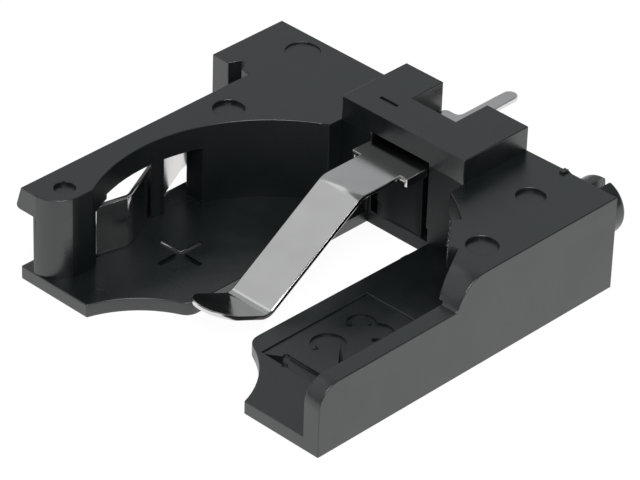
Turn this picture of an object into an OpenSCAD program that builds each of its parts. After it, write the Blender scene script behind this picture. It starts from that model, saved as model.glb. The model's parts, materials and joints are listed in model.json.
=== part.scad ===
// Coin cell holder for a circuit board: a moulded housing and two sprung strip contacts.
// The origin is on the cell's axis at the underside. +Z is up, the cell slides in from -Y,
// and both contact pins and the locating peg leave the back face towards +Y.

/* [Cell] */
// Diameter of the coin cell
cell_d = 20; // [16:0.5:24]
// Thickness of the coin cell
cell_h = 3.2; // [2:0.1:5]
// Radial play of the cell in the round part of the pocket
cell_play = 0.4; // [0.2:0.05:0.8]
// Gap between the cell and the straight wall that it is pushed against
stop_play = 0.05; // [0:0.05:0.3]

/* [Housing] */
// Thickness of the two floor plates
floor_t = 0.85; // [0.6:0.05:1.4]
// Height of the side blocks over the top of the cell
head_room = 1.95; // [1.5:0.05:3]
// Height of the centre block over the side blocks
crown_h = 1.55; // [0.8:0.05:3]
// Plastic behind the round of the pocket, up to the face that meets the board
back_t = 5; // [4:0.1:8]
// How far the arms reach forward of the cell's axis
arm_reach = 7.9; // [6:0.1:9.5]
// Thinnest part of the left arm's wall
web_t = 0.6; // [0.4:0.05:0.9]
// Overhang of the left arm's top and bottom flanges over its wall
flange_w = 0.95; // [0.7:0.05:1.4]
// How far the top flange's lower edge leans out past its upper edge
flange_lean = 0.38; // [0.1:0.02:0.5]
// Thickness of the right arm's straight wall
wall_t = 1.15; // [0.8:0.05:2]
// Height of the right arm's low wall over the cell
low_wall_over = 0.3; // [0:0.05:0.5]
// Clear height between the cell and the lips that keep it down
lip_clear = 0.45; // [0.35:0.05:0.8]
// How far the right block's lip reaches over the cell's pocket
lip_reach = 0.3; // [0.2:0.05:0.6]
// How far the snap nub on that lip reaches in past it
nub_reach = 0.6; // [0.3:0.05:0.8]
// Radius of the right block's rounded front edge
shoulder_r = 2.25; // [1.5:0.05:3]
// Radius of the left arm's nose, which the cell snaps past
nose_r = 1.75; // [1.4:0.05:2.1]
// How far the nose reaches in over the cell's edge line
nose_grip = 0.95; // [0.3:0.05:1.3]
// Width of the boss that holds the positive contact
boss_w = 3; // [2.4:0.05:5]
// Length of that boss along Y
boss_len = 5.65; // [4.5:0.05:7]
// Width of the centre block
crown_w = 9.4; // [7:0.1:12]
// Radius of the finger notch at the front
finger_r = 6.4; // [5:0.1:7.5]

/* [Contacts] */
// Thickness of the contact strip
strip_t = 0.3; // [0.2:0.05:0.5]
// Width of the negative contact's spring arm
arm_w = 3.1; // [2:0.1:4]
// Width of the negative contact's root, over its two side lugs
root_w = 4.3; // [3.6:0.1:6]
// How far the positive contact's strip stays below the lips
strip_below_lip = 0.4; // [0.2:0.05:0.8]
// How far that strip stands outside the left arm's top edge
strip_out = 1.15; // [0.9:0.05:1.4]
// Width of each contact pin
pin_w = 0.95; // [0.6:0.05:1.4]
// Length of each contact pin past the back face
pin_len = 4.4; // [2.5:0.1:6]
// Distance between the two pins along X
pin_pitch = 12.7; // [11:0.1:16]
// Clearance all round a strip in its slot
slot_play = 0.05; // [0.02:0.01:0.15]

/* [Locating peg] */
// Diameter of the split peg
peg_d = 3.5; // [2:0.1:4]
// Length of the peg
peg_len = 1.25; // [0.8:0.05:3]
// How far the peg's side stays in from the right face
peg_inset = 0.25; // [0.1:0.05:0.6]

/* [Hidden] */

eps = 0.01;
big = 60;
round_fn = 96;
small_fn = 48;

// levels
cell_top = floor_t + cell_h;
lip_z = cell_top + lip_clear;
low_wall_z = cell_top + low_wall_over;
side_h = cell_top + head_room;
crown_z = side_h + crown_h;

// plan of the housing
pocket_r = cell_d / 2 + cell_play;
stop_x = cell_d / 2 + stop_play;
right_x = stop_x + wall_t;
web_x = -(pocket_r + web_t);
left_x = web_x - flange_w;
boss_x = left_x - boss_w;
front_y = -arm_reach;
back_y = pocket_r + back_t;
boss_y = back_y - boss_len;
crown_off = -0.2;
crown_y = pocket_r - 0.25;
corner_r = 0.1;

// left arm: its end stands back from the plate's, and the flange has a round lower edge
arm_front = front_y + 0.05;
flange_edge_r = 0.25;
flange_foot = [left_x - flange_lean + flange_edge_r, lip_z + flange_edge_r];

// right block: rounded shoulder, the foot that blends it into the low wall, and the nub
shoulder_y = 2.5;
foot_r = 0.4;
foot_sink = 0.04;
low_wall_r = 1.4;
nub_angles = [32, 48];
nub_r = pocket_r - lip_reach - nub_reach;

// stub of the moulding gate on the back top edge, along X
gate = [right_x - 3.9, right_x - 3.6];
gate_len = 0.45;
gate_h = 0.12;

// gap between the floor plates, and the finger notch that widens it
gap_x = -0.46;
gap_w = 4.6;
gap_back = pocket_r - 0.13;
gap_flare = 0.15;
finger_y = front_y - 1.8;
gap_corner_r = 0.9;

// nose of the left arm
nose_x = -(cell_d / 2 - nose_grip + nose_r);
nose_y = arm_front + nose_r;

// negative contact, whose pin stands one pitch from the positive one
strip_x = left_x - strip_out;
pin_x = strip_x + pin_pitch;
root_x = -0.35;
root_top = side_h - 0.25;
root_z = root_top - strip_t;
root_front = pocket_r - 1.9;
lug_h = 0.25;
notch_w = 3.35;
notch_x = pin_x + 0.08;
notch_y = back_y - 2.6;
slot_roof = root_top + 0.4;
groove_w = strip_t + 4 * slot_play;
seat_w = root_w + 2 * slot_play;
core_w = seat_w - 2 * groove_w;
root_end = notch_y - 0.3;
arm_x = root_x + 0.05;
bend_y = 5.55;
valley_y = -1.65;
valley_z = floor_t + 0.1;
tip_y = -5.45;
tip_slope = 0.45;
shoulder_out = 0.18;
pin_fillet = 0.35;
valley_bend_r = 0.9;
root_bend_r = 1.4;

// positive contact
strip_bottom = floor_t + 0.1;
strip_top = lip_z - strip_below_lip;
strip_back = back_y - 0.8;
side_pin_z = strip_bottom + 0.65;
pin_neck = 1.6;
funnel_w = 1.05;
funnel_depth = 0.75;
strip_free = 0.1;
boss_bend_y = 5.5;
boss_bend_r = 1.6;
rub_grip = 0.55;
rub_y = -2;
rub_bend_r = 0.7;
tail_run = [-0.5, -2.2];

// windows in the left arm's wall, as their ends along Y
window_front = [-3.3, 0.3];
window_back = [1.5, 3.87];
tail_pocket = rub_y + tail_run[1] - 0.5;
tail_skin = 0.35;

// ejector pin marks: centre along X and Y, radius and depth
marks = [
    [left_x + 0.33, back_y - 1.58, 1.04, 0.1],
    [web_x + 0.94, 6.29, 0.93, 0.22],
    [nose_x + 0.53, nose_y, 0.61, 0.22],
    [right_x - 3.4, back_y - 3.37, 0.84, 0.22],
    [right_x - 1.9, 6.48, 0.91, 0.22]
];

// recessed panel in the right floor plate
panel = [[3.1, 9.1], [-4.05, 4.2]];
panel_depth = 0.1;

peg_x = right_x - peg_d / 2 - peg_inset;
peg_z = side_h - peg_d / 2 - 0.05;
peg_slot_w = 0.5;
peg_slot_off = 0.3;
peg_round = 0.35;

module block(x, y, z) {
    translate([x[0], y[0], z[0]])
        cube([x[1] - x[0], y[1] - y[0], z[1] - z[0]]);
}

// ---- housing ----

// Whole outline in plan, with the boss at the back left.
module outline() {
    difference() {
        union() {
            translate([left_x, front_y])
                square([right_x - left_x, back_y - front_y]);
            translate([boss_x, boss_y])
                square([left_x - boss_x + eps, boss_len]);
        }
        corner_cut(left_x, front_y, corner_r);
    }
}

// What a rounded corner takes off a front left corner.
module corner_cut(x, y, r) {
    difference() {
        translate([x - eps, y - eps])
            square([r + eps, r + eps]);
        translate([x + r, y + r])
            circle(r = r, $fn = small_fn);
    }
}

// Gap between the plates: a straight slot that opens into the finger notch.
module gap_plan() {
    half = gap_w / 2;
    translate([gap_x, finger_y])
        circle(r = finger_r, $fn = round_fn);
    translate([gap_x, finger_y])
        polygon([
            [-half, 0],
            [half, 0],
            [half, gap_rise(half)],
            [half + gap_flare, gap_back - finger_y],
            [-half, gap_back - finger_y]
        ]);
    for (side = [-1, 1])
        gap_corner(side, half);
}

// How far ahead of the notch's centre the straight slot begins.
function gap_rise(half) =
    sqrt(pow(finger_r + gap_corner_r, 2) - pow(half + gap_corner_r, 2));

// The rounded corner where the slot meets the notch: a blend tangent to both.
module gap_corner(side, half) {
    reach = half + gap_corner_r;
    rise = gap_rise(half);
    touch = finger_r / (finger_r + gap_corner_r);
    difference() {
        translate([gap_x, finger_y])
            polygon([
                [0, 0],
                [side * reach * touch, rise * touch],
                [side * reach, rise],
                [side * half, rise],
                [0, rise]
            ]);
        translate([gap_x + side * reach, finger_y + rise])
            circle(r = gap_corner_r, $fn = small_fn);
    }
}

// Left arm in plan: a straight back and a rounded nose, hollowed by the pocket.
module left_arm_plan() {
    difference() {
        union() {
            translate([left_x, nose_y])
                square([nose_x + nose_r - left_x, boss_y - nose_y]);
            translate([left_x, arm_front])
                square([nose_x - left_x, nose_r]);
            translate([nose_x, nose_y])
                circle(r = nose_r, $fn = round_fn);
        }
        circle(r = pocket_r, $fn = round_fn);
        translate([left_x - nose_r, nose_y - nose_r])
            square([nose_r, 2 * nose_r]);
    }
}

// Where a line from point p touches a circle, on the left of the line to its centre.
function touch_point(p, c, r) =
    let (v = p - c,
         a = atan2(v[1], v[0]) + acos(r / norm(v)))
    c + r * [cos(a), sin(a)];

// End view of the top flange: it leans out to a rounded lower edge.
module flange_profile() {
    polygon([
        [left_x, side_h],
        touch_point([left_x, side_h], flange_foot, flange_edge_r),
        flange_foot,
        [flange_foot[0], lip_z],
        [web_x + web_t / 2, lip_z],
        [web_x + web_t / 2, side_h]
    ]);
    translate(flange_foot)
        circle(r = flange_edge_r, $fn = small_fn);
}

// Left arm: wall, nose and windows, with the flange along its top.
module left_arm() {
    difference() {
        linear_extrude(side_h)
            left_arm_plan();
        block([left_x - nose_r, web_x], [front_y - 1, boss_y], [floor_t, side_h + 1]);
        for (w = [window_front, window_back])
            block([web_x - eps, 0], w, [floor_t, lip_z]);
        block([web_x + tail_skin, 0], [tail_pocket, 0], [floor_t, strip_top + strip_free]);
        strip_path();
    }
    translate([0, boss_y + eps, 0])
        rotate([90, 0, 0])
            linear_extrude(boss_y + eps - arm_front)
                flange_profile();
}

// What the wall between the windows loses to the strip that slants past it.
module strip_path() {
    across = normal_of(unit(pos_rub - pos_boss)) * (strip_t / 2 + strip_free);
    translate([0, 0, floor_t])
        linear_extrude(lip_z - floor_t)
            polygon([
                pos_boss + across,
                pos_rub + across,
                [pos_boss[0], pos_rub[1]]
            ]);
}

// The solid back of the holder in plan, round the rear half of the pocket.
module back_plan(radius) {
    left_end = nose_x + nose_r;
    difference() {
        translate([left_end, 0])
            square([right_x - left_end, back_y]);
        circle(r = radius, $fn = round_fn);
    }
    translate([boss_x, boss_y])
        square([left_end + eps - boss_x, boss_len]);
}

// Right arm: the low outer wall with its rounded front corner.
module right_arm() {
    rotate([90, 0, 90])
        translate([0, 0, stop_x])
            linear_extrude(wall_t)
                difference() {
                    translate([front_y, 0])
                        square([back_y - boss_len - front_y, low_wall_z]);
                    difference() {
                        translate([front_y - eps, low_wall_z - low_wall_r])
                            square([low_wall_r, low_wall_r + eps]);
                        translate([front_y + low_wall_r, low_wall_z - low_wall_r])
                            circle(r = low_wall_r, $fn = small_fn);
                    }
                }
}

// Side view of the right block, as [y, z]: a round shoulder with a blended foot.
module shoulder_profile() {
    centre = [shoulder_y + shoulder_r, side_h - shoulder_r];
    foot_z = low_wall_z + foot_r - foot_sink;
    foot_y = centre[0] - sqrt(pow(shoulder_r + foot_r, 2) - pow(foot_z - centre[1], 2));
    foot = [foot_y, foot_z];
    touch = centre + (foot - centre) * shoulder_r / (shoulder_r + foot_r);
    translate([shoulder_y, 0])
        square([back_y - shoulder_y, centre[1]]);
    translate([centre[0], 0])
        square([back_y - centre[0], side_h]);
    translate(centre)
        circle(r = shoulder_r, $fn = round_fn);
    difference() {
        polygon([
            [foot_y, centre[1]],
            foot,
            touch,
            [centre[0], touch[1]],
            [centre[0], centre[1]]
        ]);
        translate(foot)
            circle(r = foot_r, $fn = small_fn);
    }
}

// Snap nub in plan: a short arc of the lip that reaches further over the cell.
module nub_plan() {
    reach = pocket_r + 1;
    difference() {
        polygon([
            [0, 0],
            reach * [cos(nub_angles[0]), sin(nub_angles[0])],
            reach * [cos(nub_angles[1]), sin(nub_angles[1])]
        ]);
        circle(r = nub_r, $fn = round_fn);
    }
}

// Right block: full height behind the rounded shoulder, with a lip over the cell.
module right_block() {
    intersection() {
        union() {
            linear_extrude(side_h)
                back_plan(pocket_r);
            translate([0, 0, lip_z])
                linear_extrude(side_h - lip_z) {
                    back_plan(pocket_r - lip_reach);
                    nub_plan();
                }
        }
        rotate([90, 0, 90])
            linear_extrude(right_x)
                shoulder_profile();
    }
}

// Left block and the bridge behind the pocket, up to the centre block.
module left_block() {
    intersection() {
        linear_extrude(side_h)
            back_plan(pocket_r);
        block([boss_x, crown_off], [0, back_y], [0, side_h]);
    }
}

// Centre block: squares off the pocket and stands above the side blocks.
module crown() {
    half = crown_w / 2;
    block([crown_off - half, crown_off + half], [crown_y, back_y], [0, crown_z]);
}

module peg() {
    translate([peg_x, back_y, peg_z])
        rotate([-90, 0, 0])
            difference() {
                rotate_extrude($fn = small_fn)
                    union() {
                        translate([0, -1])
                            square([peg_d / 2, peg_len - peg_round + 1]);
                        square([peg_d / 2 - peg_round, peg_len]);
                        translate([peg_d / 2 - peg_round, peg_len - peg_round])
                            circle(r = peg_round, $fn = small_fn);
                    }
                translate([peg_slot_off - peg_slot_w / 2, -peg_d, 0])
                    cube([peg_slot_w, 2 * peg_d, peg_len + 1]);
            }
}

// Stub that the moulding gate left on the back top edge.
module gate_stub() {
    block(gate, [back_y - gate_len, back_y], [side_h - gate_h, side_h + gate_h]);
}

// Cuts for the negative contact: slot, core grooves and the notch for its pin.
module negative_seat() {
    half = seat_w / 2;
    block([root_x - half, root_x + half], [0, notch_y + eps], [root_z, slot_roof]);
    for (side = [-1, 1])
        translate([root_x + side * (half - groove_w / 2), 0, 0])
            block([-groove_w / 2, groove_w / 2], [crown_y - 1, root_end + slot_play],
                  [floor_t, root_z + eps]);
    block([notch_x - notch_w / 2, notch_x + notch_w / 2],
          [notch_y, back_y + 1], [root_z, crown_z + 1]);
    // the core between the grooves follows the pocket
    intersection() {
        cylinder(r = pocket_r, h = root_z, $fn = round_fn);
        block([root_x - core_w / 2, root_x + core_w / 2], [crown_y - 1, pocket_r],
              [floor_t, root_z + eps]);
    }
}

// Cuts for the positive contact: a flared mouth at the front and a slit to the back.
module positive_seat() {
    half = strip_t / 2 + slot_play;
    translate([0, 0, floor_t])
        linear_extrude(side_h)
            polygon([
                [strip_x - funnel_w / 2, boss_y - eps],
                [strip_x - half, boss_y + funnel_depth],
                [strip_x + half, boss_y + funnel_depth],
                [strip_x + funnel_w / 2, boss_y - eps]
            ]);
    block([strip_x - half, strip_x + half], [boss_y, strip_back + slot_play],
          [strip_bottom - slot_play, strip_top + slot_play]);
    block([strip_x - half, strip_x + half], [strip_back, back_y + 1],
          [side_pin_z - pin_w / 2 - slot_play, side_pin_z + pin_w / 2 + slot_play]);
}

module ejector_marks() {
    for (m = marks)
        translate([m[0], m[1], side_h - m[3]])
            cylinder(r = m[2], h = 1, $fn = small_fn);
}

module housing() {
    color("#3a4144")
        difference() {
            union() {
                linear_extrude(floor_t)
                    outline();
                left_arm();
                right_arm();
                right_block();
                left_block();
                crown();
                peg();
                gate_stub();
            }
            translate([0, 0, -1])
                linear_extrude(floor_t + 2)
                    gap_plan();
            negative_seat();
            positive_seat();
            ejector_marks();
            block(panel[0], panel[1], [floor_t - panel_depth, floor_t + eps]);
        }
}

// ---- contacts ----

// A point each side of a centre line at half the strip's thickness, for a folded strip.
function unit(v) = v / norm(v);
function normal_of(v) = [-v[1], v[0]];
function mitre(a, b) = unit(normal_of(unit(a)) + normal_of(unit(b)));
function side_point(path, i, off) =
    let (n = len(path),
         before = path[i] - path[max(i - 1, 0)],
         after = path[min(i + 1, n - 1)] - path[i],
         a = i == 0 ? after : before,
         b = i == n - 1 ? before : after,
         m = mitre(a, b),
         k = off / (m * normal_of(unit(a))))
    path[i] + m * k;
function ribbon(path, t) = concat(
    [for (i = [0 : len(path) - 1]) side_point(path, i, t / 2)],
    [for (i = [len(path) - 1 : -1 : 0]) side_point(path, i, -t / 2)]);

// Points of a round bend between two straight runs that meet at a corner.
function bend(p, corner, q, r, steps = 6) =
    let (u = unit(p - corner),
         v = unit(q - corner),
         half = acos(u * v) / 2,
         cut = r / tan(half),
         c = corner + unit(u + v) * (r / sin(half)),
         a = corner + u * cut - c,
         b = corner + v * cut - c,
         turn = atan2(a[0] * b[1] - a[1] * b[0], a * b))
    [for (k = [0 : steps])
        let (t = turn * k / steps)
        c + [a[0] * cos(t) - a[1] * sin(t), a[0] * sin(t) + a[1] * cos(t)]];

// Side view of the negative contact, front to back, as [y, z] on its centre line.
neg_mid = root_top - strip_t / 2;
neg_valley = [valley_y, valley_z + strip_t / 2 - 0.1];
neg_tip = [tip_y - 1, neg_valley[1] + tip_slope * (valley_y - tip_y + 1)];
neg_bend = [bend_y, neg_mid];
neg_end = [back_y + pin_len, neg_mid];
neg_path = concat(
    [neg_tip],
    bend(neg_tip, neg_valley, neg_bend, valley_bend_r),
    bend(neg_valley, neg_bend, neg_end, root_bend_r),
    [neg_end]);

// Plan of the negative contact: round end, arm, root and pin with rounded shoulders.
module negative_plan() {
    arm = arm_w / 2;
    wide = notch_w / 2 - slot_play;
    translate([arm_x - arm, tip_y + arm])
        square([arm_w, root_front - tip_y]);
    translate([arm_x, tip_y + arm])
        circle(r = arm, $fn = round_fn);
    translate([root_x - root_w / 2, root_front])
        square([root_w, root_end - root_front]);
    // the neck between root and notch is as wide as both of them allow
    intersection() {
        translate([root_x - root_w / 2, root_front])
            square([root_w, back_y - root_front]);
        translate([notch_x - wide, root_front])
            square([2 * wide, notch_y + 2 * slot_play - root_front]);
    }
    translate([notch_x - wide, notch_y + slot_play])
        square([2 * wide, back_y + shoulder_out - pin_fillet - notch_y - slot_play]);
    translate([notch_x - wide + pin_fillet, notch_y + slot_play])
        square([2 * (wide - pin_fillet), back_y + shoulder_out - notch_y - slot_play]);
    for (side = [-1, 1])
        translate([notch_x + side * (wide - pin_fillet), back_y + shoulder_out - pin_fillet])
            circle(r = pin_fillet, $fn = small_fn);
    pin_plan();
}

module pin_plan() {
    half = pin_w / 2;
    end_y = back_y + pin_len;
    root = back_y + shoulder_out;
    translate([pin_x - half, root - 1])
        square([pin_w, end_y - half - root + 1]);
    translate([pin_x, end_y - half])
        circle(r = half, $fn = small_fn);
    for (side = [-1, 1])
        difference() {
            translate([pin_x + side * half - (side < 0 ? pin_fillet : 0), root - eps])
                square([pin_fillet, pin_fillet + eps]);
            translate([pin_x + side * (half + pin_fillet), root + pin_fillet])
                circle(r = pin_fillet, $fn = small_fn);
        }
}

module negative_contact() {
    color("#c8cacc") {
        intersection() {
            rotate([90, 0, 90])
                translate([0, 0, -big / 2])
                    linear_extrude(big)
                        polygon(ribbon(neg_path, strip_t));
            translate([0, 0, -1])
                linear_extrude(crown_z + 2)
                    negative_plan();
        }
        for (side = [-1, 1])
            translate([root_x + side * (root_w - strip_t) / 2, 0, 0])
                block([-strip_t / 2, strip_t / 2], [root_front, root_end],
                      [root_z - lug_h, root_z + eps]);
    }
}

// Plan of the positive contact, back to front, as [x, y] on its centre line.
pos_start = [strip_x, back_y + pin_len];
pos_boss = [strip_x, boss_bend_y];
pos_rub = [rub_grip - cell_d / 2, rub_y];
pos_end = pos_rub + tail_run;
pos_path = concat(
    [pos_start],
    bend(pos_start, pos_boss, pos_rub, boss_bend_r),
    bend(pos_boss, pos_rub, pos_end, rub_bend_r),
    [pos_end]);

// Side view of the positive contact: a tall strip that ends in a low pin.
module positive_side() {
    half = pin_w / 2;
    end_y = back_y + pin_len;
    translate([pos_end[1] - 1, strip_bottom])
        square([strip_back - pos_end[1] + 1, strip_top - strip_bottom]);
    translate([strip_back - pin_neck, side_pin_z - half])
        square([end_y - half - strip_back + pin_neck, pin_w]);
    translate([end_y - half, side_pin_z])
        circle(r = half, $fn = small_fn);
}

module positive_contact() {
    color("#c8cacc")
        intersection() {
            linear_extrude(crown_z)
                polygon(ribbon(pos_path, strip_t));
            rotate([90, 0, 90])
                translate([0, 0, -big / 2])
                    linear_extrude(big)
                        positive_side();
        }
}

housing();
negative_contact();
positive_contact();
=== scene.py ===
# %% [markdown]
# # A coin cell holder, finished in Blender
#
# The object is a small moulded holder for a coin cell: a dark plastic housing and two
# sprung strip contacts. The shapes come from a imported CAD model, which stays the frame
# for everything here. Blender's part of the work is the finish: soft edges, moulded
# marks, the satin of the plastic, the shine of plated strip, the light and the camera.

# %% Load the frame
import json
import math

import bmesh
import bpy
from mathutils import Matrix, Vector


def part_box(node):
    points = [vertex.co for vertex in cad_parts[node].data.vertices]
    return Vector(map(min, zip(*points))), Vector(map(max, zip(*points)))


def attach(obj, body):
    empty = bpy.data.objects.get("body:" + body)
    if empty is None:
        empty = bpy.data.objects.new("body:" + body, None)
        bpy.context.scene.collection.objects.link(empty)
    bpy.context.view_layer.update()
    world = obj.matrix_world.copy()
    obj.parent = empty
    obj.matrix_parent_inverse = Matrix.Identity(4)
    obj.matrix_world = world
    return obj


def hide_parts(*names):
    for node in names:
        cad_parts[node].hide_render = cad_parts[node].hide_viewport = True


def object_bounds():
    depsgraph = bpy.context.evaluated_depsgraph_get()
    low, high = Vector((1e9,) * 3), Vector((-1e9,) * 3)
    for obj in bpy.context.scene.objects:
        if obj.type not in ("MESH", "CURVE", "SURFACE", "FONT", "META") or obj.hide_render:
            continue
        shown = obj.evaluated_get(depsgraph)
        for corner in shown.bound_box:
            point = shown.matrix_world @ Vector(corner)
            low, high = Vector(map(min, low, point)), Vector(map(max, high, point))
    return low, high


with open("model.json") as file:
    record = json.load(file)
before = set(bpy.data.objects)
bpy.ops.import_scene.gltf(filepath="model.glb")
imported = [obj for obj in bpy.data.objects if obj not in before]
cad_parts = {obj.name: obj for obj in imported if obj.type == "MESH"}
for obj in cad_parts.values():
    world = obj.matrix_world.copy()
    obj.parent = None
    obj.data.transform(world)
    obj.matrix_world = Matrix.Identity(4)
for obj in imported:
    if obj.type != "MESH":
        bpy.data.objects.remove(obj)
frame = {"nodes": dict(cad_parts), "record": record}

MM = 0.001
cad_low, cad_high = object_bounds()

# %% [markdown]
# ## Sizes taken from the frame
#
# Where the frame gives a size, it is read from there, so that a mark stays on its face
# when the CAD model changes: the housing's box gives the top of the centre block, and a
# mount gives the back face. The frame has no name for the sides of the centre block or
# the top of the floor, so those are numbers here and would have to be changed by hand.
# The cell's axis is the origin.

# %% Places on the housing
def frame_mount(name):
    found = [m for m in frame["record"]["mounts"] if m["name"] == name]
    return found[0]["pos_m"]


crown_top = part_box("housing")[1][2]
back_y = frame_mount("board_face")[1]
side_top = crown_top - 1.55 * MM
floor_top = 0.85 * MM
panel_top = floor_top - 0.1 * MM
CROWN_LEFT, CROWN_RIGHT, CROWN_FRONT = -4.9 * MM, 4.5 * MM, 10.15 * MM
print("back face at", round(back_y / MM, 2), "and side blocks up to", round(side_top / MM, 2))

# %% [markdown]
# ## The camera
#
# The object is seen from its front right corner, a third of the way up. A long lens from
# far off keeps its edges nearly parallel, as in a catalogue picture. The camera's three
# axes are built from two angles and a small roll, which is easier to read than a matrix.

# %% Camera
VIEW_AZIMUTH = math.radians(43.5)
VIEW_ELEVATION = math.radians(33.54)
VIEW_ROLL = math.radians(1.85)
CAMERA_PLACE = Vector((130.27, -133.74, 128.60)) * MM
LENS_MM = 231.3


def camera_axes(azimuth, elevation, roll):
    back = Vector((
        math.sin(azimuth) * math.cos(elevation),
        -math.cos(azimuth) * math.cos(elevation),
        math.sin(elevation),
    ))
    right = Vector((math.cos(azimuth), math.sin(azimuth), 0))
    up = back.cross(right)
    turned = Matrix.Rotation(roll, 3, back)
    return turned @ right, turned @ up, back


def add_camera():
    right, up, back = camera_axes(VIEW_AZIMUTH, VIEW_ELEVATION, VIEW_ROLL)
    data = bpy.data.cameras.new("camera")
    data.lens = LENS_MM
    data.sensor_width = 36
    data.clip_start = 0.01
    data.clip_end = 20
    camera = bpy.data.objects.new("camera", data)
    turn = Matrix((right, up, back)).transposed().to_4x4()
    camera.matrix_world = Matrix.Translation(CAMERA_PLACE) @ turn
    bpy.context.scene.collection.objects.link(camera)
    bpy.context.scene.camera = camera
    print("camera is", round(CAMERA_PLACE.length / MM), "mm from the cell's axis")


add_camera()

# %% [markdown]
# ## Helpers for meshes
#
# A CAD node arrives as loose triangles. A copy of it is merged, and flat areas are
# dissolved into single faces, so that a bevel finds clean edges to work on. A modifier's
# result is baked with new_from_object, which leaves a plain mesh on a plain object.

# %% Mesh helpers
def add_object(name, mesh):
    made = bpy.data.objects.new(name, mesh)
    bpy.context.scene.collection.objects.link(made)
    return made


def merged_copy(node, name, weld=1e-6, flat=0.5):
    mesh = frame["nodes"][node].data.copy()
    mesh.name = name
    mesh.materials.clear()
    made = add_object(name, mesh)
    tools = bmesh.new()
    tools.from_mesh(mesh)
    bmesh.ops.remove_doubles(tools, verts=tools.verts, dist=weld)
    bmesh.ops.dissolve_limit(
        tools, angle_limit=math.radians(flat), use_dissolve_boundaries=False,
        verts=tools.verts, edges=tools.edges, delimit=set())
    for face in tools.faces:
        face.smooth = False
    tools.to_mesh(mesh)
    tools.free()
    print(name, "starts with", len(mesh.polygons), "faces")
    return made


def bake(piece):
    shown = piece.evaluated_get(bpy.context.evaluated_depsgraph_get())
    baked = bpy.data.meshes.new_from_object(shown)
    old = piece.data
    piece.modifiers.clear()
    piece.data = baked
    bpy.data.meshes.remove(old)
    return piece


# %% [markdown]
# ## Soft edges
#
# A moulded edge is never sharp: it has a small radius that catches the light as a thin
# line. The Bevel modifier makes that radius in the mesh. One width for all edges would
# eat up the shallow steps, so each edge gets a weight from the room beside it: the full
# radius on a wall, and a smaller one on a step that is only a tenth of a millimetre high.
# Only edges that stick out are rounded, because a rounded inside corner reads as a
# bright line in a dark place.

# %% Bevel with room for shallow steps
SHARP = math.radians(28)


def room_beside(edge):
    a, b = edge.verts[0].co, edge.verts[1].co
    along = (b - a).normalized()
    room = 1.0
    for face in edge.link_faces:
        reach = max(((v.co - a) - along * (v.co - a).dot(along)).length for v in face.verts)
        room = min(room, reach)
    return room


def inside(point, boxes):
    return any(all(low[i] <= point[i] <= high[i] for i in range(3)) for low, high in boxes)


def box_of(mesh):
    places = [vertex.co for vertex in mesh.vertices]
    return [(min(p[axis] for p in places), max(p[axis] for p in places)) for axis in range(3)]


def keep_in_box(mesh, box):
    """Rounding can push a corner out by a hundredth of a millimetre, so it is moved back."""
    for vertex in mesh.vertices:
        for axis, (low, high) in enumerate(box):
            vertex.co[axis] = min(max(vertex.co[axis], low), high)
    mesh.update()


def soften(piece, radius, segments=2, share=0.4, left_sharp=()):
    box = box_of(piece.data)
    tools = bmesh.new()
    tools.from_mesh(piece.data)
    weight = tools.edges.layers.float.new("bevel_weight_edge")
    count = 0
    for edge in tools.edges:
        middle = (edge.verts[0].co + edge.verts[1].co) / 2
        if inside(middle, left_sharp):
            continue
        if edge.is_convex and edge.calc_face_angle(0) > SHARP:
            edge[weight] = min(1.0, share * room_beside(edge) / radius)
            count += 1
    tools.to_mesh(piece.data)
    tools.free()
    bevel = piece.modifiers.new("soft edges", "BEVEL")
    bevel.width = radius
    bevel.segments = segments
    bevel.limit_method = "WEIGHT"
    bevel.use_clamp_overlap = False
    bevel.miter_outer = "MITER_ARC"
    bevel.harden_normals = False
    bake(piece)
    keep_in_box(piece.data, box)
    print(piece.name, "has", count, "soft edges and", len(piece.data.polygons), "faces")
    return piece


def shade(piece, angle=28):
    mesh = piece.data
    mesh.polygons.foreach_set("use_smooth", [True] * len(mesh.polygons))
    mesh.set_sharp_from_angle(angle=math.radians(angle))
    weighted = piece.modifiers.new("flat faces stay flat", "WEIGHTED_NORMAL")
    weighted.keep_sharp = True
    return bake(piece)


# %% [markdown]
# ## Finishes
#
# Two groups of nodes hold the patterns of the surfaces. The first is the fine grain that
# a spark-eroded mould leaves, with a slow mottle under it. The second is the faint drawn
# line that rolling leaves along a metal strip. A group puts out only heights and masks,
# and each material decides what it does with them.

# %% Shader group helpers
def new_group(name, inputs, outputs):
    group = bpy.data.node_groups.new(name, "ShaderNodeTree")
    for label, kind, value in inputs:
        socket = group.interface.new_socket(label, in_out="INPUT", socket_type=kind)
        socket.default_value = value
    for label, kind in outputs:
        group.interface.new_socket(label, in_out="OUTPUT", socket_type=kind)
    start = group.nodes.new("NodeGroupInput")
    end = group.nodes.new("NodeGroupOutput")
    return group, start, end


def math_node(group, operation, *values):
    node = group.nodes.new("ShaderNodeMath")
    node.operation = operation
    for place, value in enumerate(values):
        if isinstance(value, (int, float)):
            node.inputs[place].default_value = value
        else:
            group.links.new(value, node.inputs[place])
    return node.outputs[0]


def noise(group, vector, scale, detail=3.0, rough=0.5):
    node = group.nodes.new("ShaderNodeTexNoise")
    node.inputs["Detail"].default_value = detail
    node.inputs["Roughness"].default_value = rough
    if isinstance(scale, (int, float)):
        node.inputs["Scale"].default_value = scale
    else:
        group.links.new(scale, node.inputs["Scale"])
    group.links.new(vector, node.inputs["Vector"])
    return node.outputs["Fac"]


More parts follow.
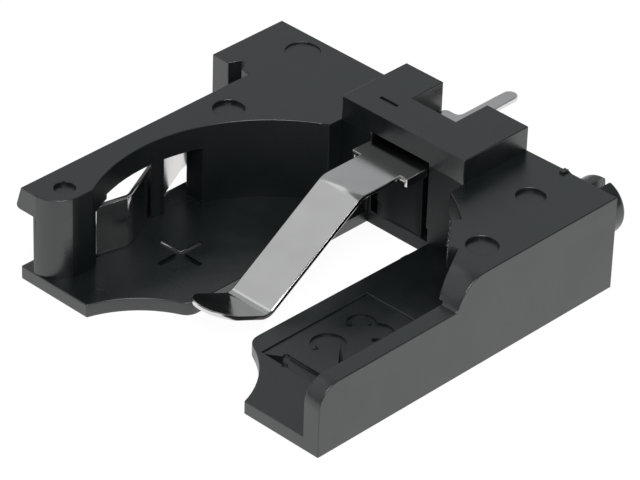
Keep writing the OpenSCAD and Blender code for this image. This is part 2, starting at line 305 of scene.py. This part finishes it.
# %% Grain of the moulding
def moulded_grain():
    group, start, end = new_group(
        "moulded grain",
        [("Vector", "NodeSocketVector", (0, 0, 0)),
         ("Grain per metre", "NodeSocketFloat", 9000.0),
         ("Mottle per metre", "NodeSocketFloat", 260.0)],
        [("Height", "NodeSocketFloat"), ("Mottle", "NodeSocketFloat")])
    fine = noise(group, start.outputs["Vector"], start.outputs["Grain per metre"], 2.0)
    slow = noise(group, start.outputs["Vector"], start.outputs["Mottle per metre"], 4.0, 0.6)
    group.links.new(fine, end.inputs["Height"])
    group.links.new(slow, end.inputs["Mottle"])
    return group


# %% Lines of the rolled strip
def rolled_lines():
    group, start, end = new_group(
        "rolled lines",
        [("Vector", "NodeSocketVector", (0, 0, 0)),
         ("Lines per metre", "NodeSocketFloat", 16000.0)],
        [("Height", "NodeSocketFloat"), ("Smudge", "NodeSocketFloat")])
    stretch = group.nodes.new("ShaderNodeMapping")
    stretch.inputs["Scale"].default_value = (1.0, 0.02, 0.35)
    group.links.new(start.outputs["Vector"], stretch.inputs["Vector"])
    lines = noise(group, stretch.outputs["Vector"], start.outputs["Lines per metre"], 2.0)
    smudge = noise(group, start.outputs["Vector"], 420.0, 3.0)
    group.links.new(lines, end.inputs["Height"])
    group.links.new(smudge, end.inputs["Smudge"])
    return group


# %% Build a material around the Principled shader
GRAIN = moulded_grain()
LINES = rolled_lines()


def new_material(name, metallic, roughness, specular=0.5):
    material = bpy.data.materials.new(name)
    material.use_nodes = True
    tree = material.node_tree
    shader = tree.nodes["Principled BSDF"]
    shader.inputs["Metallic"].default_value = metallic
    shader.inputs["Roughness"].default_value = roughness
    shader.inputs["Specular IOR Level"].default_value = specular
    print("material", name)
    return material, tree, shader


# %% Join patterns to the shader
def place_group(tree, group, **values):
    node = tree.nodes.new("ShaderNodeGroup")
    node.node_tree = group
    where = tree.nodes.new("ShaderNodeTexCoord")
    tree.links.new(where.outputs["Object"], node.inputs["Vector"])
    for label, value in values.items():
        node.inputs[label.replace("_", " ")].default_value = value
    return node


def ramp(tree, value, low, high, start=0.3, end=0.7):
    node = tree.nodes.new("ShaderNodeValToRGB")
    node.color_ramp.elements[0].position = start
    node.color_ramp.elements[1].position = end
    node.color_ramp.elements[0].color = low
    node.color_ramp.elements[1].color = high
    tree.links.new(value, node.inputs["Fac"])
    return node.outputs["Color"]


def spread(tree, value, low, high, start=0.3, end=0.7):
    node = tree.nodes.new("ShaderNodeMapRange")
    node.inputs["From Min"].default_value = start
    node.inputs["From Max"].default_value = end
    node.inputs["To Min"].default_value = low
    node.inputs["To Max"].default_value = high
    tree.links.new(value, node.inputs["Value"])
    return node.outputs["Result"]


def bump(tree, height, shader, strength, distance):
    node = tree.nodes.new("ShaderNodeBump")
    node.inputs["Strength"].default_value = strength
    node.inputs["Distance"].default_value = distance
    tree.links.new(height, node.inputs["Height"])
    tree.links.new(node.outputs["Normal"], shader.inputs["Normal"])


# %% [markdown]
# ## Moulded plastic
#
# Dark plastic is nearly black in itself, so what is seen of it is what it mirrors. Its
# colour hardly varies, and the mottle changes the roughness instead, so that the shine
# breaks up as it does on a real moulding. The fine grain is a faint bump. The walls round
# the cell get a duller copy of the same plastic. This paints in the shade that falls inside
# the pocket, so they stay as dark as they look on the object. It is a choice for the look:
# whether the real mould is rougher there isn't known.

# %% Plastic
PLASTIC_DARK = (0.0045, 0.0075, 0.0085, 1)
PLASTIC_PALE = (0.009, 0.012, 0.013, 1)


def housing_plastic(name, specular, smoothest, roughest):
    material, tree, shader = new_material(name, 0.0, 0.38, specular)
    grain = place_group(tree, GRAIN)
    colour = ramp(tree, grain.outputs["Mottle"], PLASTIC_DARK, PLASTIC_PALE)
    tree.links.new(colour, shader.inputs["Base Color"])
    rough = spread(tree, grain.outputs["Mottle"], smoothest, roughest)
    tree.links.new(rough, shader.inputs["Roughness"])
    bump(tree, grain.outputs["Height"], shader, 0.25, 0.00002)
    return material


PLASTIC = housing_plastic("housing plastic", 1.0, 0.24, 0.40)
# A duller copy of the housing plastic: it paints in the shade that falls on the walls inside the
# pocket.
POCKET_SHADE_PLASTIC = housing_plastic("pocket plastic with painted shade", 0.3, 0.42, 0.55)

# %% [markdown]
# ## Plated strip
#
# The plating over the spring strip is a plain metal: fully metallic, fairly smooth, a
# little warm. Faint lines run along the strip from rolling, and a slow smudge changes colour and
# roughness together, as handling does.

# %% Strip
STRIP_DARK = (0.66, 0.65, 0.64, 1)
STRIP_PALE = (0.72, 0.71, 0.70, 1)


def plated_strip():
    material, tree, shader = new_material("plated strip", 1.0, 0.16)
    lines = place_group(tree, LINES)
    colour = ramp(tree, lines.outputs["Smudge"], STRIP_DARK, STRIP_PALE)
    tree.links.new(colour, shader.inputs["Base Color"])
    rough = spread(tree, lines.outputs["Smudge"], 0.12, 0.2)
    tree.links.new(rough, shader.inputs["Roughness"])
    bump(tree, lines.outputs["Height"], shader, 0.08, 0.00001)
    return material


STRIP = plated_strip()

# %% [markdown]
# ## Engraved signs
#
# The floor of the left arm carries a plus sign and the centre block a minus sign. Both
# are the same bar, once or twice, so one Geometry Nodes tree makes them: it sets a number
# of bars on one spot, each turned a quarter further, and the housing is cut with them.

# %% A tree that crosses bars
def group_input(group, label, kind, value):
    socket = group.interface.new_socket(label, in_out="INPUT", socket_type=kind)
    socket.default_value = value
    return socket.identifier


def link(group, source, target):
    group.links.new(source, target)


def crossed_bars():
    group = bpy.data.node_groups.new("crossed bars", "GeometryNodeTree")
    names = {
        "Bars": group_input(group, "Bars", "NodeSocketInt", 2),
        "Bar": group_input(group, "Bar", "NodeSocketVector", (3.4 * MM, 0.35 * MM, 1 * MM)),
        "Place": group_input(group, "Place", "NodeSocketVector", (0, 0, 0)),
        "Material": group_input(group, "Material", "NodeSocketMaterial", None),
    }
    group.interface.new_socket("Geometry", in_out="OUTPUT", socket_type="NodeSocketGeometry")
    start = group.nodes.new("NodeGroupInput")
    end = group.nodes.new("NodeGroupOutput")
    points = group.nodes.new("GeometryNodePoints")
    link(group, start.outputs["Bars"], points.inputs["Count"])
    link(group, start.outputs["Place"], points.inputs["Position"])
    index = group.nodes.new("GeometryNodeInputIndex")
    quarter = math_node(group, "MULTIPLY", index.outputs[0], math.pi / 2)
    turn = group.nodes.new("ShaderNodeCombineXYZ")
    link(group, quarter, turn.inputs["Z"])
    bar = group.nodes.new("GeometryNodeMeshCube")
    link(group, start.outputs["Bar"], bar.inputs["Size"])
    placed = group.nodes.new("GeometryNodeInstanceOnPoints")
    link(group, points.outputs[0], placed.inputs["Points"])
    link(group, bar.outputs["Mesh"], placed.inputs["Instance"])
    link(group, turn.outputs[0], placed.inputs["Rotation"])
    return end_tree(group, start, end, placed.outputs[0]), names


def end_tree(group, start, end, geometry):
    solid = group.nodes.new("GeometryNodeRealizeInstances")
    coat = group.nodes.new("GeometryNodeSetMaterial")
    link(group, geometry, solid.inputs[0])
    link(group, solid.outputs[0], coat.inputs["Geometry"])
    link(group, start.outputs["Material"], coat.inputs["Material"])
    link(group, coat.outputs[0], end.inputs[0])
    return group


def grown(name, tree, names, **values):
    made = add_object(name, bpy.data.meshes.new(name))
    modifier = made.modifiers.new("grown", "NODES")
    modifier.node_group = tree
    for label, value in values.items():
        modifier[names[label]] = value
    return bake(made)


# %% Cut the signs into the housing
SIGN_DEPTH = 0.14 * MM
PLUS_PLACE, PLUS_LENGTH, PLUS_WIDTH = (-6.8, -0.6), 3.3 * MM, 0.36 * MM
MINUS_PLACE, MINUS_LENGTH, MINUS_WIDTH = (-2.63, 11.58), 1.35 * MM, 0.24 * MM
CUT_HEIGHT = 1.0 * MM


def cut_place(x, y, top, depth=SIGN_DEPTH):
    return (x * MM, y * MM, top - depth + CUT_HEIGHT / 2)


BARS, BAR_NAMES = crossed_bars()
signs = [
    grown("plus sign", BARS, BAR_NAMES, Bars=2, Bar=(PLUS_LENGTH, PLUS_WIDTH, CUT_HEIGHT),
          Place=cut_place(*PLUS_PLACE, floor_top), Material=PLASTIC),
    grown("minus sign", BARS, BAR_NAMES, Bars=1, Bar=(MINUS_LENGTH, MINUS_WIDTH, CUT_HEIGHT),
          Place=cut_place(*MINUS_PLACE, crown_top), Material=PLASTIC),
]
print(len(signs), "signs are ready to cut")


# %% Tools that cut the moulding
def room_of(piece):
    corners = [v.co for v in piece.data.vertices]
    return tuple(tuple(pick(c[i] for c in corners) for i in range(3)) for pick in (min, max))


def plain_block(name, low, high):
    tools = bmesh.new()
    bmesh.ops.create_cube(tools, size=1)
    for vertex in tools.verts:
        for i in range(3):
            vertex.co[i] = high[i] if vertex.co[i] > 0 else low[i]
    mesh = bpy.data.meshes.new(name)
    tools.to_mesh(mesh)
    tools.free()
    mesh.materials.append(PLASTIC)
    return add_object(name, mesh)


def engrave(piece, cutters):
    for cutter in cutters:
        cut = piece.modifiers.new("engraving", "BOOLEAN")
        cut.operation = "DIFFERENCE"
        cut.solver = "EXACT"
        cut.use_self = True
        cut.object = cutter
    bake(piece)
    for cutter in cutters:
        mesh = cutter.data
        bpy.data.objects.remove(cutter)
        bpy.data.meshes.remove(mesh)
    print(piece.name, "is engraved and has", len(piece.data.polygons), "faces")
    return piece


# %% [markdown]
# ## Engraved numbers
#
# The recessed panel in the right floor plate carries plain numbers, written with one
# groove of even width. Each numeral is a line of arcs and straight runs, and the groove
# is that line swept with a square tool, as an engraving cutter would leave it.

# %% Numerals as pen lines
def arc(centre, radius, start, stop, steps=14):
    turns = [math.radians(start + (stop - start) * i / steps) for i in range(steps + 1)]
    return [(centre[0] + radius * math.cos(t), centre[1] + radius * math.sin(t)) for t in turns]


NUMERALS = {
    "1": [[(0.5, 0.95), (0.5, 0.0)], [(0.22, 0.72), (0.5, 0.95)]],
    "2": [arc((0.38, 0.68), 0.32, 165, -30) + [(0.12, 0.06)], [(0.05, 0.0), (0.7, 0.0)]],
    "3": [arc((0.36, 0.74), 0.26, 150, -75, 10) + arc((0.36, 0.27), 0.28, 80, -150, 10)],
}


def groove(name, line, place, size, width, depth):
    """A closed bar swept along a line that lies on the panel, read from the +X side."""
    tools = bmesh.new()
    points = [Vector((place[0] - y * size, place[1] + x * size, 0)) for x, y in line]
    half = width / 2
    rows = []
    for i, point in enumerate(points):
        before = points[max(i - 1, 0)]
        after = points[min(i + 1, len(points) - 1)]
        along = (after - before).normalized()
        side = Vector((-along.y, along.x, 0)) * half
        if i == 0:
            point = point - along * half
        if i == len(points) - 1:
            point = point + along * half
        row = []
        for offset, level in ((side, -depth), (-side, -depth),
                              (-side, CUT_HEIGHT), (side, CUT_HEIGHT)):
            row.append(tools.verts.new(point + offset + Vector((0, 0, panel_top + level))))
        rows.append(row)
    for a, b in zip(rows, rows[1:]):
        for i in range(4):
            tools.faces.new((a[i], a[(i + 1) % 4], b[(i + 1) % 4], b[i]))
    tools.faces.new(rows[0][::-1])
    tools.faces.new(rows[-1])
    bmesh.ops.recalc_face_normals(tools, faces=tools.faces)
    mesh = bpy.data.meshes.new(name)
    tools.to_mesh(mesh)
    tools.free()
    mesh.materials.append(PLASTIC)
    return add_object(name, mesh)


NUMBER_X, FIRST_NUMBER_Y, NUMBER_STEP = 6.8, -4.6, 2.8
NUMBER_SIZE, PEN_WIDTH, PEN_DEPTH = 2.7 * MM, 0.34 * MM, 0.12 * MM

numbers = [
    groove("numeral " + digit, line,
           (NUMBER_X * MM, (FIRST_NUMBER_Y + NUMBER_STEP * i) * MM),
           NUMBER_SIZE, PEN_WIDTH, PEN_DEPTH)
    for i, digit in enumerate("123") for line in NUMERALS[digit]
]
print(len(numbers), "pen lines are ready to cut")

# %% [markdown]
# ## The housing
#
# The moulding is a copy of the CAD housing with a small radius on its edges. The split
# peg, the stub of the gate and the engraved signs keep the edges that they have, because
# they are too small for it. The back of the pocket is squared off beside the centre block
# with a plain block. The cuts come before the rounding, so that the squared corners are
# rounded too, and because a cut through rounded corners is prone to fail.

# %% Edges that stay sharp
EDGE_RADIUS = 0.07 * MM
PEG_REACH, PEG_END = 1.9 * MM, 3 * MM
SLACK = 0.02 * MM


def finish_piece(piece, node, material):
    piece.data.materials.clear()
    piece.data.materials.append(material)
    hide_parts(node)
    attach(piece, "root")


peg_x, _, peg_z = frame_mount("locating_peg")
peg_room = ((peg_x - PEG_REACH, back_y - SLACK, peg_z - PEG_REACH),
            (peg_x + PEG_REACH, back_y + PEG_END, side_top - SLACK))
gate_room = ((peg_x - 2 * MM, back_y - 0.6 * MM, side_top - 0.2 * MM),
             (peg_x - 1.5 * MM, back_y + 0.1 * MM, side_top + 0.2 * MM))

cut_rooms = [room_of(cutter) for cutter in signs + numbers]
print(len(cut_rooms) + 2, "places keep sharp edges")

# %% Walls that get painted shade
SQUARED_FROM = 8 * MM
POCKET_NEAR, POCKET_FAR = 9.9 * MM, 11.3 * MM
UPRIGHT = 0.3

squared = plain_block("squared back", (CROWN_LEFT, SQUARED_FROM, floor_top),
                      (CROWN_RIGHT, CROWN_FRONT, side_top + 0.5 * MM))


def paint_shade_on_pocket_walls(piece):
    """Gives the walls round the cell the duller copy of the plastic, which paints in the shade
    that falls inside the pocket.
    """
    piece.data.materials.append(POCKET_SHADE_PLASTIC)
    count = 0
    for face in piece.data.polygons:
        middle = face.center
        out = middle.xy.length
        inward = face.normal.xy.dot(middle.xy) < 0
        upright = abs(face.normal.z) < UPRIGHT
        at_wall = POCKET_NEAR < out < POCKET_FAR and floor_top < middle.z < side_top
        if inward and upright and at_wall:
            face.material_index = 1
            count += 1
    print(count, "faces are pocket wall")


# %% Make the moulding
moulding = merged_copy("housing", "housing_moulding")
engrave(moulding, [squared] + signs + numbers)
soften(moulding, EDGE_RADIUS, 3, left_sharp=[peg_room, gate_room] + cut_rooms)
shade(moulding)
finish_piece(moulding, "housing", PLASTIC)
# The walls inside the pocket get the duller copy, which is painted shade.
paint_shade_on_pocket_walls(moulding)

# %% [markdown]
# ## Flash on the snap nub
#
# Where the two halves of a mould meet, a little plastic creeps out and tears when the part
# is pushed out. It is ragged, but it follows one line, so a tree lays small crumbs along
# an arc: each gets its own size and turn from a fixed seed.

# %% A tree that lays crumbs along an arc
def torn_edge():
    group = bpy.data.node_groups.new("torn edge", "GeometryNodeTree")
    names = {}
    for label, kind, value in (
            ("Radius", "NodeSocketFloat", 9.5 * MM), ("Start", "NodeSocketFloat", 0.56),
            ("Sweep", "NodeSocketFloat", 0.27), ("Level", "NodeSocketFloat", side_top),
            ("Crumbs", "NodeSocketInt", 30), ("Smallest", "NodeSocketFloat", 0.05 * MM),
            ("Largest", "NodeSocketFloat", 0.16 * MM), ("Seed", "NodeSocketInt", 3),
            ("Material", "NodeSocketMaterial", None)):
        names[label] = group_input(group, label, kind, value)
    group.interface.new_socket("Geometry", in_out="OUTPUT", socket_type="NodeSocketGeometry")
    start = group.nodes.new("NodeGroupInput")
    end = group.nodes.new("NodeGroupOutput")
    line = group.nodes.new("GeometryNodeCurveArc")
    line.mode = "RADIUS"
    for here, there in (("Radius", "Radius"), ("Start", "Start Angle"), ("Sweep", "Sweep Angle")):
        link(group, start.outputs[here], line.inputs[there])
    level = group.nodes.new("ShaderNodeCombineXYZ")
    link(group, start.outputs["Level"], level.inputs["Z"])
    lifted = group.nodes.new("GeometryNodeSetPosition")
    link(group, line.outputs["Curve"], lifted.inputs["Geometry"])
    link(group, level.outputs[0], lifted.inputs["Offset"])
    points = group.nodes.new("GeometryNodeCurveToPoints")
    link(group, lifted.outputs[0], points.inputs["Curve"])
    link(group, start.outputs["Crumbs"], points.inputs["Count"])
    crumb = group.nodes.new("GeometryNodeMeshIcoSphere")
    crumb.inputs["Radius"].default_value = 0.5
    size = group.nodes.new("FunctionNodeRandomValue")
    size.data_type = "FLOAT_VECTOR"
    for here, there in (("Smallest", "Min"), ("Largest", "Max"), ("Seed", "Seed")):
        link(group, start.outputs[here], size.inputs[there])
    turn = group.nodes.new("FunctionNodeRandomValue")
    turn.data_type = "FLOAT_VECTOR"
    turn.inputs["Max"].default_value = (math.tau, math.tau, math.tau)
    link(group, start.outputs["Seed"], turn.inputs["Seed"])
    placed = group.nodes.new("GeometryNodeInstanceOnPoints")
    link(group, points.outputs["Points"], placed.inputs["Points"])
    link(group, crumb.outputs["Mesh"], placed.inputs["Instance"])
    link(group, size.outputs["Value"], placed.inputs["Scale"])
    link(group, turn.outputs["Value"], placed.inputs["Rotation"])
    return end_tree(group, start, end, placed.outputs[0]), names


# %% Lay the flash along the nub
FLASH, FLASH_NAMES = torn_edge()
flash = grown("nub_flash", FLASH, FLASH_NAMES, Radius=9.5 * MM, Start=math.radians(32.5),
              Sweep=math.radians(15), Level=side_top - 0.08 * MM, Crumbs=40, Seed=3,
              Smallest=0.08 * MM, Largest=0.3 * MM, Material=PLASTIC)
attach(flash, "root")
print("flash has", len(flash.data.polygons), "faces")

# %% [markdown]
# ## The two contacts
#
# The contacts are stamped from bright plated spring strip and folded. The negative one
# springs up over the cell, the positive one presses on its side through the windows of
# the housing. Both keep the exact shape of the CAD. A small bevel on the stamped edges
# catches a line of light, which is what makes thin metal read as metal and not as grey
# card. The material was made above: fully metallic, fairly smooth, with faint rolling
# lines that run along the strip.

# %% Contacts
STRIP_EDGE = 0.08 * MM

for node in ("negative_contact", "positive_contact"):
    strip = merged_copy(node, node + "_strip")
    soften(strip, STRIP_EDGE, 2)
    shade(strip)
    finish_piece(strip, node, STRIP)

# %% [markdown]
# ## Floor and light
#
# A bright, white backdrop comes from the floor itself: rays from the camera and
# rays mirrored by a shiny surface see a floor that glows, while all others see a plain
# pale floor. So the backdrop is white and the floor keeps the shadow of the part. Shiny
# faces mirror the glow, but it adds no soft light to them. The Light Path node tells the
# kinds of ray apart.
#
# Black plastic is drawn almost only by what it mirrors, so each lamp has one job. The
# front softbox gives the shadow and the soft edges. The side panel is what the sloping
# spring mirrors. The back panel is what the flat tops mirror, and its power sets how
# grey they look.

# %% Floor
FLOOR_SIZE = 1.5
FLOOR_GAP = 0.02 * MM
GLOW, GLOW_SHARE = 1.1, 0.85


def add_floor():
    tools = bmesh.new()
    bmesh.ops.create_grid(tools, x_segments=1, y_segments=1, size=FLOOR_SIZE)
    mesh = bpy.data.meshes.new("floor")
    tools.to_mesh(mesh)
    tools.free()
    mesh.transform(Matrix.Translation((0, 0, cad_low[2] - FLOOR_GAP)))
    floor = add_object("floor", mesh)
    material = bpy.data.materials.new("pale floor")
    material.use_nodes = True
    tree = material.node_tree
    tree.nodes["Principled BSDF"].inputs["Base Color"].default_value = (0.86, 0.86, 0.86, 1)
    tree.nodes["Principled BSDF"].inputs["Roughness"].default_value = 0.9
    glow = tree.nodes.new("ShaderNodeEmission")
    glow.inputs["Color"].default_value = (1, 1, 1, 1)
    glow.inputs["Strength"].default_value = GLOW
    path = tree.nodes.new("ShaderNodeLightPath")
    seen = tree.nodes.new("ShaderNodeMath")
    seen.operation = "MAXIMUM"
    tree.links.new(path.outputs["Is Camera Ray"], seen.inputs[0])
    tree.links.new(path.outputs["Is Glossy Ray"], seen.inputs[1])
    amount = tree.nodes.new("ShaderNodeMath")
    amount.operation = "MULTIPLY"
    amount.inputs[1].default_value = GLOW_SHARE
    tree.links.new(seen.outputs[0], amount.inputs[0])
    mix = tree.nodes.new("ShaderNodeMixShader")
    tree.links.new(amount.outputs[0], mix.inputs["Fac"])
    tree.links.new(tree.nodes["Principled BSDF"].outputs[0], mix.inputs[1])
    tree.links.new(glow.outputs[0], mix.inputs[2])
    tree.links.new(mix.outputs[0], tree.nodes["Material Output"].inputs["Surface"])
    floor.data.materials.append(material)
    print("floor lies", round(FLOOR_GAP / MM, 2), "mm under the part")


add_floor()


# %% Lamps
def add_softbox(name, place, size, watts, colour):
    data = bpy.data.lights.new(name, "AREA")
    data.shape = "RECTANGLE"
    data.size, data.size_y = size
    data.energy = watts
    data.color = colour
    lamp = bpy.data.objects.new(name, data)
    aim = (-Vector(place)).to_track_quat("-Z", "Y")
    lamp.matrix_world = Matrix.Translation(Vector(place)) @ aim.to_matrix().to_4x4()
    bpy.context.scene.collection.objects.link(lamp)
    print(name, "gives", watts, "W")


add_softbox("front softbox", (0.30, -0.22, 0.60), (0.45, 0.45), 3.2, (1, 1, 1))
add_softbox("side panel", (-0.42, -0.33, 0.45), (0.9, 0.8), 1.08, (0.97, 0.985, 1.0))
add_softbox("back panel", (-0.42, 0.36, 0.42), (0.8, 0.8), 0.56, (0.93, 0.98, 1.0))

world = bpy.data.worlds.new("world")
bpy.context.scene.world = world
world.use_nodes = True
world.node_tree.nodes["Background"].inputs["Color"].default_value = (0.15, 0.153, 0.157, 1)
world.node_tree.nodes["Background"].inputs["Strength"].default_value = 1.0
bpy.context.scene.view_settings.view_transform = "Standard"
